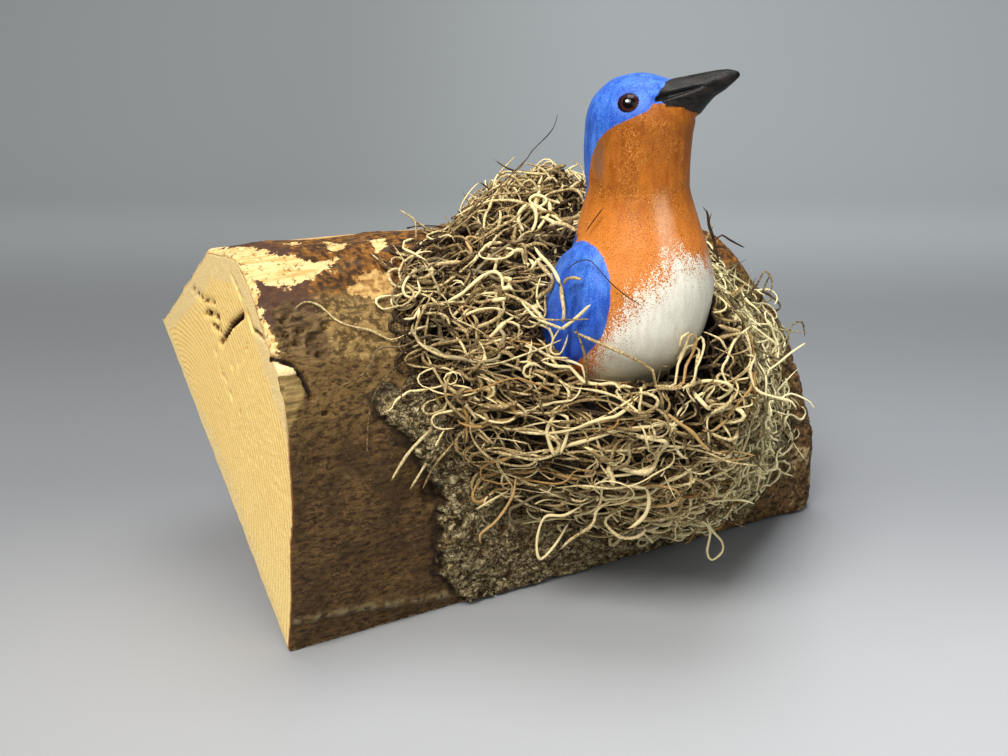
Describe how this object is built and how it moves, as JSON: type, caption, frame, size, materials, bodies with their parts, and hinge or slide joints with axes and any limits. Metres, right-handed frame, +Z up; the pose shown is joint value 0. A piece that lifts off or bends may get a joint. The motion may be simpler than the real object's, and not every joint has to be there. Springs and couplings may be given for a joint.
{
  "type": "bluebird carving",
  "caption": "Carved and painted bluebird standing upright in a nest of curly moss on the bark front of a split log.",
  "frame": {"origin": "middle of the log's flat foot, on the surface it stands on", "axes": "+X along the log away from its sawn end, +Y to its back, away from the nest, +Z up"},
  "size_m": [0.2257, 0.1856, 0.1809],
  "materials": {
    "log_wood": "rough bark, with a bare sawn end and split back",
    "dried_moss": "dry, matt curly strands",
    "painted_wood": "blue, orange, white and charcoal paint with a soft sheen"
  },
  "bodies": {
    "root": {"log": "log_wood", "nest": "dried_moss", "bird": "painted_wood"}
  },
  "joints": []
}
